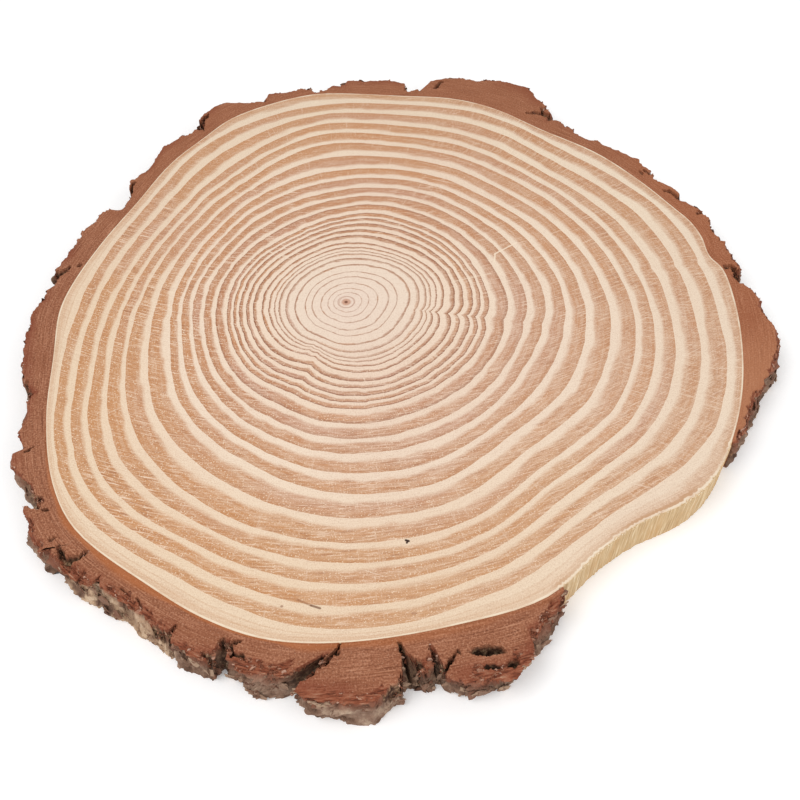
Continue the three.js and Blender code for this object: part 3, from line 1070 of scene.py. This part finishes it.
def leaning_place(out):
    """Plan places on every section, at distances beyond the rim."""
    degrees = inner_degrees + (outer_degrees - inner_degrees) * np.clip(out / bridged, 0, 1.15)
    return on_plan(degrees, rim_radius(degrees) + out)


def bark_points():
    """Places and marks of every point of the loops, in order: face, outside, underside, inside."""
    width, depth = shoulder_shape()
    top_out, top_depth = outside_at(1.0)
    width = np.minimum(width, top_out * 0.8)
    places, marks = [], []

    def keep(part, out, height, cut, worn, deep, pitted=0):
        x, y = leaning_place(out)
        places.append(np.stack([x, y, np.zeros(STATIONS) + height], axis=-1))
        values = (cut, worn, deep, out, along_rim, part, pitted)
        marks.append([np.zeros(STATIONS) + value for value in values])

    keep(0.0, -GROOVE, TOP - GROOVE, 1, 0, 0)
    for step in range(FACE_STEPS + 1):
        part = 0.02 + 0.98 * step / FACE_STEPS
        out = top_out * part
        x, y = leaning_place(out)
        crack, pit = hole_depth(x, y)
        hole = np.maximum(crack, pit)
        layer_noise = layered_noise(along_rim / MM * 0.12, out / MM * 1.3, 40, 0.9, 3, 2.0)
        sink, worn = shoulder_sink(top_out - out, layer_noise, width, depth)
        total = np.minimum(np.maximum(sink, hole), TOP * (1 - LEFT_UNDER_HOLES))
        deep = np.clip((hole - sink) / FULLY_DEEP, 0, 1)
        keep(part, out, TOP - total, 1, worn, deep, np.clip(pit / MM, 0, 1))
    edge = TOP - total
    for step in range(1, OUTSIDE_STEPS):
        height = edge * (1 - step / OUTSIDE_STEPS)
        level = 1 - step / OUTSIDE_STEPS
        out, fissure = outside_at(level)
        keep(1.0, out, height, 0, 1, fissure)
    low_out, low_fissure = outside_at(0.0)
    keep(1.0, low_out, FOOT_EDGE, 0, 1, low_fissure)
    for step in range(UNDER_STEPS + 1):
        part = 1 - step / UNDER_STEPS
        keep(part, low_out * part - GROOVE * (1 - part), 0.0, 1, 0, 0)
    return np.stack(places, axis=1), np.stack(marks, axis=2)


def strip_faces(width):
    """Faces of the strip of closed loops, with a cap at each end."""
    station = np.arange(STATIONS - 1)[:, None]
    point = np.arange(width)[None, :]
    a = station * width + point
    b = station * width + (point + 1) % width
    quads = np.stack([a, a + width, b + width, b], axis=-1).reshape(-1, 4)
    faces = [tuple(quad) for quad in quads.tolist()]
    faces.append(tuple(range(width)))
    faces.append(tuple(reversed(range((STATIONS - 1) * width, STATIONS * width))))
    return faces


def face_outwards(piece):
    """Points all normals out of a closed piece."""
    shape = bmesh.new()
    shape.from_mesh(piece.data)
    bmesh.ops.recalc_face_normals(shape, faces=shape.faces)
    shape.to_mesh(piece.data)
    shape.free()


places, marks = bark_points()
loop_width = places.shape[1]
bark = new_object("bark_ring", places.reshape(-1, 3).tolist(), strip_faces(loop_width))
for name, values in zip(BARK_MARKS, marks):
    add_attribute(bark.data, name, values)
face_outwards(bark)
face_outwards(wood)
print("bark has", len(bark.data.polygons), "faces,", loop_width, "points a section")

# %% [markdown]
# Bark material
#
# The sawn face of the bark is reddish brown, with fine lines that follow its layers, and a more orange
# band of living bark against the wood. The shoulders and the outside have weathered: pale grey-brown
# edges of layers with dark gaps between them. The floors of cracks are crumbled bark, brown and grey,
# and painted shade turns them nearly black where they lie deep; the large pits get painted dark mouths.
# The mesh carries what the material needs: how far a point is from the wood, how far along the rim,
# whether the saw cut it, how worn it is and how deep it lies in a crack.

# %% Bark: sawn face
BARK_ROUGHNESS = 0.9
BARK_SHINE = 0.2

corky = Finish("bark")
cut, worn, deep, layer, along, part = [corky.attribute(name) for name in BARK_MARKS[:6]]
bark_place = corky.add("ShaderNodeTexCoord", "Object")

line_space = corky.joined(corky.times(along, 75), corky.times(layer, 2100))
lines = corky.noise(line_space, 1.0, 3, 0.65)
cloud = corky.noise(bark_place, 60, 4, 0.6)
face_colour = corky.ramp(lines, {0.3: (108, 60, 40), 0.42: (146, 92, 65), 0.56: (163, 106, 78),
                                 0.7: (192, 138, 108)})
grain = corky.noise(bark_place, 1500, 2, 0.6)
outer_part = corky.between(part, 0.5, 0.95, 0.0, 0.7)
red_zone = corky.between(corky.noise(bark_place, 38, 3, 0.55), 0.42, 0.6)
toward_right, toward_back, lift = corky.split(bark_place)
front_side = corky.times(corky.between(toward_back, -0.04, -0.11),
                         corky.between(toward_right, 0.05, -0.06, 0.3, 1.0))
right_end = corky.times(corky.between(toward_right, 0.11, 0.13), corky.between(toward_back, 0.0, -0.04))
orange_reach = corky.between(corky.noise(bark_place, 26, 2), 0.35, 0.65, 0.8 * MM, 4.2 * MM)
near_wood = corky.between(layer, orange_reach, corky.times(orange_reach, 0.3))
speckle = corky.cells(bark_place, 900.0)
face_colour = corky.painted(
    face_colour,
    (corky.between(grain, 0.5, 0.68, 0.0, 0.66), (112, 64, 45)),
    (corky.between(grain, 0.48, 0.32, 0.0, 0.6), (196, 142, 112)),
    (corky.between(cloud, 0.45, 0.75, 0.0, 0.4), (140, 82, 56)),
    (corky.times(outer_part, red_zone), (124, 58, 39)),
    (corky.between(toward_back, 0.02, 0.1, 0.0, 0.35), (162, 102, 70)),
    (corky.between(toward_right, 0.09, 0.13, 0.0, 0.3), (180, 106, 68)),
    (corky.times(right_end, 0.45), (192, 134, 98)),
    (corky.times(near_wood, front_side, 0.66), (180, 106, 60)),
    (corky.between(speckle, 0.22, 0.08, 0.0, 0.45), (205, 158, 130)),
)
print("sawn face of the bark has", len(corky.tree.nodes), "nodes")

# %% Bark: broken layers and the outside
flake_space = corky.joined(corky.times(along, 260), corky.times(layer, 1500), 3.0)
flaky = corky.noise(flake_space, 1.0, 4, 0.7)
shoulder_colour = corky.ramp(flaky, {0.3: (64, 39, 29), 0.42: (114, 62, 43), 0.52: (146, 83, 58),
                                     0.62: (162, 110, 85), 0.74: (200, 166, 140)})
rough_cloud = corky.noise(bark_place, 150, 5, 0.65)
outside_colour = corky.ramp(rough_cloud, {0.32: (84, 61, 49), 0.45: (124, 95, 78), 0.55: (148, 120, 102),
                                          0.68: (188, 163, 140)})
red_cloud = corky.noise(bark_place, 45, 3)
cloudy_lift = corky.math("ADD", lift, corky.times(red_cloud, 14 * MM))
upper = corky.times(corky.between(cloudy_lift, 14.5 * MM, 20.5 * MM), 0.72)
outside_colour = corky.mix(upper, outside_colour, srgb(126, 70, 49))

# One stretch at the front left broke lately and is still pale. Ends and half width in mm about the pith.
FRESH_BREAK = ((-85, -129), (-57, -150))
FRESH_WIDTH = 9
about_pith = corky.vector("SUBTRACT", bark_place, (PITH.x, PITH.y, 0))
fresh = corky.near_line(about_pith, *FRESH_BREAK, FRESH_WIDTH)
fresh = corky.times(fresh, corky.between(corky.noise(bark_place, 75, 3, 0.6), 0.36, 0.46))
fresh_colour = corky.ramp(rough_cloud, {0.32: (112, 82, 62), 0.43: (172, 140, 112), 0.55: (200, 170, 140),
                                        0.68: (224, 200, 172)})
outside_colour = corky.mix(corky.times(fresh, 0.85), outside_colour, fresh_colour)
worn_colour = corky.mix(cut, outside_colour, shoulder_colour)
bark_colour = corky.mix(worn, face_colour, worn_colour)

# Painted shade: the three large pits get crisp, nearly black mouths on the sawn face, whose edges wander a
# little.
LARGE_PITS = 3
PIT_SHADE_SPREAD = 1.25
mouth_noise = corky.add("ShaderNodeTexNoise", "Color", {"Vector": bark_place, "Scale": 420.0})
mouth_shift = corky.scaled(corky.vector("SUBTRACT", mouth_noise, (0.5, 0.5, 0.5)), 1.6 * MM)
ragged_place = corky.vector("ADD", about_pith, mouth_shift)
for middle_x, middle_y, half_length, half_width, slant, _ in PITS[:LARGE_PITS]:
    turn = math.radians(slant)
    reach_x = (half_length - half_width) * math.cos(turn)
    reach_y = (half_length - half_width) * math.sin(turn)
    ends = ((middle_x - reach_x, middle_y - reach_y), (middle_x + reach_x, middle_y + reach_y))
    mask = corky.near_line(ragged_place, *ends, half_width * PIT_SHADE_SPREAD)
    bark_colour = corky.mix(corky.times(mask, cut, 0.9), bark_colour, srgb(38, 25, 20))

# Painted shade in cracks and fissures: the deeper a point lies, the more it turns to a crumbly mix of near
# black, brown and grey, which stands for crumbled bark in shade. It is stronger on the sawn face than on the
# outside.
crumbly = corky.noise(bark_place, 520, 3, 0.65)
shaded_crack_floor = corky.ramp(crumbly, {0.32: (32, 22, 17), 0.44: (66, 46, 35), 0.54: (112, 86, 65),
                                   0.66: (170, 144, 112)})
crack_shade = corky.times(corky.between(deep, 0.08, 0.6), corky.between(cut, 0.0, 1.0, 0.55, 0.9))
bark_colour = corky.mix(crack_shade, bark_colour, shaded_crack_floor)

smooth_part = corky.math("SUBTRACT", 1.0, worn)
face_relief = corky.bump(corky.times(corky.math("ADD", lines, grain), smooth_part), 0.3 * MM, 0.6)
worn_relief = corky.bump(corky.times(rough_cloud, worn), 1.1 * MM, 0.8, face_relief)
corky.surface(bark_colour, BARK_ROUGHNESS, BARK_SHINE, worn_relief)
bark.data.materials.append(corky.material)

# %% [markdown]
# Loose flakes on the bark
#
# Weathered bark sheds small flat flakes, and hundreds of them still cling to its outside. Placed one by
# one they would take for ever, and as a texture they would have no edges. Geometry Nodes scatter one
# low flake over the worn faces instead: every flake lies against the layers, which face out from the
# pith, and gets its own size, spin and tilt from a fixed seed.

# %% Helpers for Geometry Nodes
class Recipe(Nodes):
    """A Geometry Nodes tree with named inputs, and short ways to add nodes to it."""

    def __init__(self, name, inputs):
        self.tree = bpy.data.node_groups.new(name, "GeometryNodeTree")
        self.tree.interface.new_socket("Geometry", in_out="INPUT", socket_type="NodeSocketGeometry")
        self.settings = {}
        for label, (kind, value) in inputs.items():
            socket = self.tree.interface.new_socket(label, in_out="INPUT", socket_type=kind)
            self.settings[socket.identifier] = value
        self.tree.interface.new_socket("Geometry", in_out="OUTPUT", socket_type="NodeSocketGeometry")
        self.given = self.tree.nodes.new("NodeGroupInput").outputs

    def random(self, low, high, seed, kind="FLOAT"):
        """A random number or vector for each point, from a fixed seed."""
        node = self.tree.nodes.new("FunctionNodeRandomValue")
        node.data_type = kind
        offset = 0 if kind == "FLOAT_VECTOR" else 2
        self.set(node.inputs[offset], low)
        self.set(node.inputs[offset + 1], high)
        self.set(node.inputs["Seed"], seed)
        return node.outputs[0 if kind == "FLOAT_VECTOR" else 1]

    def named(self, name):
        return self.add("GeometryNodeInputNamedAttribute", 0, {"Name": name}, data_type="FLOAT")

    def toned(self, geometry, seed):
        """Marks every placed piece with its own tone from 0 to 1, for its material to read."""
        inputs = {"Geometry": geometry, "Name": "tone", "Value": self.random(0.0, 1.0, seed)}
        return self.add("GeometryNodeStoreNamedAttribute", 0, inputs, data_type="FLOAT", domain="INSTANCE")

    def keep_between(self, geometry, low, high):
        """Moves what stands above or below the slice back into its thickness."""
        x, y, z = self.split(self.add("GeometryNodeInputPosition"))
        height = self.math("MAXIMUM", self.math("MINIMUM", z, high), low)
        inputs = {"Geometry": geometry, "Position": self.joined(x, y, height)}
        return self.add("GeometryNodeSetPosition", 0, inputs)

    def finish(self, geometry, material):
        """Ends the tree in real mesh with a material."""
        real = self.add("GeometryNodeRealizeInstances", 0, {"Geometry": geometry})
        kept = self.keep_between(real, 0.1 * MM, TOP - 0.1 * MM)
        done = self.add("GeometryNodeSetMaterial", 0, {"Geometry": kept, "Material": material})
        self.set(self.tree.nodes.new("NodeGroupOutput").inputs[0], done)

    def grow(self, base, name):
        """Runs the recipe on an object and returns the result as a plain mesh object."""
        modifier = base.modifiers.new(name, "NODES")
        modifier.node_group = self.tree
        for identifier, value in self.settings.items():
            modifier[identifier] = value
        evaluated = base.evaluated_get(bpy.context.evaluated_depsgraph_get())
        mesh = bpy.data.meshes.new_from_object(evaluated)
        base.modifiers.remove(modifier)
        made = bpy.data.objects.new(name, mesh)
        bpy.context.scene.collection.objects.link(made)
        return made


# %% Bark flakes: finish
flaked = Finish("bark_flakes")
tone = flaked.attribute("tone")
flake_place = flaked.add("ShaderNodeTexCoord", "Object")
flake_cloud = flaked.noise(flake_place, 420, 4, 0.65)
flake_tone = flaked.math("ADD", flaked.times(tone, 0.55), flaked.times(flake_cloud, 0.5))
flake_colour = flaked.ramp(flake_tone, {0.22: (92, 62, 48), 0.4: (124, 86, 68), 0.58: (144, 112, 93),
                                        0.8: (176, 148, 124)})
flaked.surface(flake_colour, BARK_ROUGHNESS, BARK_SHINE, flaked.bump(flake_cloud, 0.6 * MM, 0.8))

# %% Bark flakes: scatter
FLAKE_SIDES = 7
FLAKE_THICKNESS = 0.34 * MM
flakes_recipe = Recipe("scatter_flakes", {
    "Flakes per square metre": ("NodeSocketFloat", 170000.0),
    "Smallest": ("NodeSocketFloat", 0.5 * MM),
    "Largest": ("NodeSocketFloat", 3.0 * MM),
    "Tilt": ("NodeSocketFloat", 0.22),
    "Narrowest": ("NodeSocketFloat", 0.45),
    "Seed": ("NodeSocketInt", 11),
})


def flake_shape(recipe):
    """One flat flake, a little irregular in outline and thickness."""
    inputs = {"Vertices": FLAKE_SIDES, "Radius": 1.0, "Depth": FLAKE_THICKNESS}
    disc = recipe.add("GeometryNodeMeshCylinder", "Mesh", inputs, fill_type="NGON")
    push = recipe.random((-0.3, -0.3, -0.0002), (0.3, 0.3, 0.0002), 5, "FLOAT_VECTOR")
    return recipe.add("GeometryNodeSetPosition", 0, {"Geometry": disc, "Offset": push})


def on_outside(recipe):
    """1 on the worn outside, 0 in its fissures and on the sawn face."""
    outside = recipe.math("SUBTRACT", recipe.named("worn"), recipe.named("cut"))
    return recipe.math("SUBTRACT", outside, recipe.named("deep"))


def on_broken_face(recipe):
    """1 on the shoulders and in the cracks of the sawn face, 0 elsewhere."""
    broken = recipe.math("MAXIMUM", recipe.named("worn"), recipe.math("MULTIPLY", recipe.named("deep"), 1.4))
    broken = recipe.math("SUBTRACT", broken, recipe.math("MULTIPLY", recipe.named("pitted"), 3.0))
    return recipe.math("MULTIPLY", recipe.named("cut"), broken)


def scatter_flakes(recipe, chosen, patch_scale, patch_level):
    """Flakes in patches on the chosen faces, lying against the layers."""
    geometry, density, smallest, largest, tilt, narrowest, seed = recipe.given[:7]
    patches = recipe.add("ShaderNodeTexNoise", "Fac", {"Scale": patch_scale, "Detail": 2.0})
    in_patch = recipe.math("GREATER_THAN", patches, patch_level)
    worn_enough = recipe.math("GREATER_THAN", recipe.math("MULTIPLY", chosen, in_patch), 0.5)
    inputs = {"Mesh": geometry, "Selection": worn_enough, "Density": density, "Seed": seed}
    spots = recipe.add("GeometryNodeDistributePointsOnFaces", "Points", inputs)
    where = recipe.add("GeometryNodeInputPosition")
    level = recipe.vector("MULTIPLY", recipe.vector("SUBTRACT", where, tuple(PITH)), (1, 1, 0))
    facing = recipe.add("FunctionNodeAlignRotationToVector", 0, {"Vector": level}, axis="Z")
    spin = recipe.random((0, 0, 0), (0, 0, 6.28), 21, "FLOAT_VECTOR")
    tilt_each_way = recipe.random((-1, -1, 0), (1, 1, 0), 22, "FLOAT_VECTOR")
    turn = recipe.vector("ADD", spin, recipe.scaled(tilt_each_way, tilt))
    turned = recipe.add("FunctionNodeRotateRotation", 0, {0: facing, 1: turn}, rotation_space="LOCAL")
    large = recipe.math("POWER", recipe.random(0.0, 1.0, 23), 2.2)
    range_of_sizes = recipe.math("SUBTRACT", largest, smallest)
    length = recipe.math("ADD", smallest, recipe.math("MULTIPLY", large, range_of_sizes))
    width = recipe.math("MULTIPLY", length, recipe.random(narrowest, 0.9, 24))
    inputs = {"Points": spots, "Instance": flake_shape(recipe),
              "Rotation": turned, "Scale": recipe.joined(length, width, 1.0)}
    placed = recipe.add("GeometryNodeInstanceOnPoints", 0, inputs)
    return recipe.toned(placed, 25)


placed_flakes = scatter_flakes(flakes_recipe, on_outside(flakes_recipe), 95.0, 0.52)
flakes_recipe.finish(placed_flakes, flaked.material)
flakes = flakes_recipe.grow(bark, "bark_flakes")
print("flakes:", len(flakes.data.polygons) // (FLAKE_SIDES + 2), "with", len(flakes.data.polygons), "faces")

# %% [markdown]
# Crumbs on the broken edges
#
# Where the saw cut has crumbled away, torn layers stand up along the shoulders and in the cracks: small
# thin slivers, pinkish and paler than the sawn face. The same recipe lays them, with narrower and more
# tilted pieces, on the broken parts of the sawn face only.

# %% Crumbs
crumbed = Finish("bark_crumbs")
crumb_tone = crumbed.attribute("tone")
crumb_place = crumbed.add("ShaderNodeTexCoord", "Object")
crumb_cloud = crumbed.noise(crumb_place, 700, 3, 0.6)
crumb_mix = crumbed.math("ADD", crumbed.times(crumb_tone, 0.6), crumbed.times(crumb_cloud, 0.4))
crumb_colour = crumbed.ramp(crumb_mix, {0.2: (96, 56, 41), 0.45: (140, 86, 63), 0.64: (166, 116, 92),
                                        0.82: (196, 160, 140)})
crumbed.surface(crumb_colour, BARK_ROUGHNESS, BARK_SHINE, crumbed.bump(crumb_cloud, 0.4 * MM, 0.6))

crumbs_recipe = Recipe("scatter_crumbs", {
    "Crumbs per square metre": ("NodeSocketFloat", 900000.0),
    "Smallest": ("NodeSocketFloat", 0.25 * MM),
    "Largest": ("NodeSocketFloat", 1.3 * MM),
    "Tilt": ("NodeSocketFloat", 0.6),
    "Narrowest": ("NodeSocketFloat", 0.25),
    "Seed": ("NodeSocketInt", 17),
})
placed_crumbs = scatter_flakes(crumbs_recipe, on_broken_face(crumbs_recipe), 140.0, 0.5)
crumbs_recipe.finish(placed_crumbs, crumbed.material)
crumbs = crumbs_recipe.grow(bark, "bark_crumbs")
print("crumbs:", len(crumbs.data.polygons) // (FLAKE_SIDES + 2))

# %% [markdown]
# Torn fibres on the bare rim
#
# Where the bark tore away it pulled fibres with it, and the saw left a fringe along the top edge. Thin
# tapered splinters follow the edge of the bare rim, most of them lying along it or hanging over it.

# %% Torn fibres
frayed = Finish("torn_fibres")
frayed_tone = frayed.attribute("tone")
frayed_colour = frayed.ramp(frayed_tone, {0.0: (206, 172, 126), 0.5: (236, 214, 176),
                                          1.0: (250, 238, 214)})
frayed.set(frayed.shader.inputs["Base Color"], frayed_colour)
frayed.shader.inputs["Roughness"].default_value = 0.8

fibre_recipe = Recipe("torn_fibres", {
    "Fibres": ("NodeSocketInt", 230),
    "Shortest": ("NodeSocketFloat", 0.3),
    "Longest": ("NodeSocketFloat", 1.1),
    "Seed": ("NodeSocketInt", 3),
})


def bare_edge():
    """The top edge of the bare rim as a line of vertices."""
    degrees = np.arange(BARE_FROM + 4.5, BARE_TO - 6.0, 0.25)
    x, y = on_plan(degrees, rim_radius(degrees) - 0.1 * MM)
    vertices = [(a, b, TOP - 0.25 * MM) for a, b in zip(x.tolist(), y.tolist())]
    mesh = bpy.data.meshes.new("bare_edge")
    mesh.from_pydata(vertices, [(i, i + 1) for i in range(len(vertices) - 1)], [])
    line = bpy.data.objects.new("bare_edge", mesh)
    bpy.context.scene.collection.objects.link(line)
    return line


def lay_fibres(recipe):
    """Splinters along the edge, each with its own length and turn."""
    geometry, count, shortest, longest, seed = recipe.given[:5]
    curve = recipe.add("GeometryNodeMeshToCurve", 0, {"Mesh": geometry})
    points = recipe.add("GeometryNodeCurveToPoints", 0, {"Curve": curve, "Count": count})
    slide = recipe.random((-0.0004, -0.0004, -0.0005), (0.0003, 0.0003, 0.0002), seed, "FLOAT_VECTOR")
    points = recipe.add("GeometryNodeSetPosition", 0, {"Geometry": points, "Offset": slide})
    inputs = {"Vertices": 5, "Radius Top": 0.03 * MM, "Radius Bottom": 0.14 * MM, "Depth": 1.0 * MM}
    splinter = recipe.add("GeometryNodeMeshCone", "Mesh", inputs, fill_type="NGON")
    turn = recipe.random((1.3, -0.3, 1.9), (1.8, 0.3, 2.7), 31, "FLOAT_VECTOR")
    stretch = recipe.random(shortest, longest, 32)
    inputs = {"Points": points, "Instance": splinter, "Rotation": turn,
              "Scale": recipe.joined(1.0, 1.0, stretch)}
    placed = recipe.add("GeometryNodeInstanceOnPoints", 0, inputs)
    recipe.finish(recipe.toned(placed, 33), frayed.material)


lay_fibres(fibre_recipe)
edge_line = bare_edge()
fibres_piece = fibre_recipe.grow(edge_line, "torn_fibres")
bpy.data.objects.remove(edge_line)
print("fibres have", len(fibres_piece.data.polygons), "faces")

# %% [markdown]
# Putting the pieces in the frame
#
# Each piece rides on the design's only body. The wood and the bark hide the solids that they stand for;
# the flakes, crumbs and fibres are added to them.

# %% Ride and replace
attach(wood, "root")
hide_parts("wood_disc")

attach(bark, "root")
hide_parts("bark")

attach(flakes, "root")

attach(crumbs, "root")

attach(fibres_piece, "root")
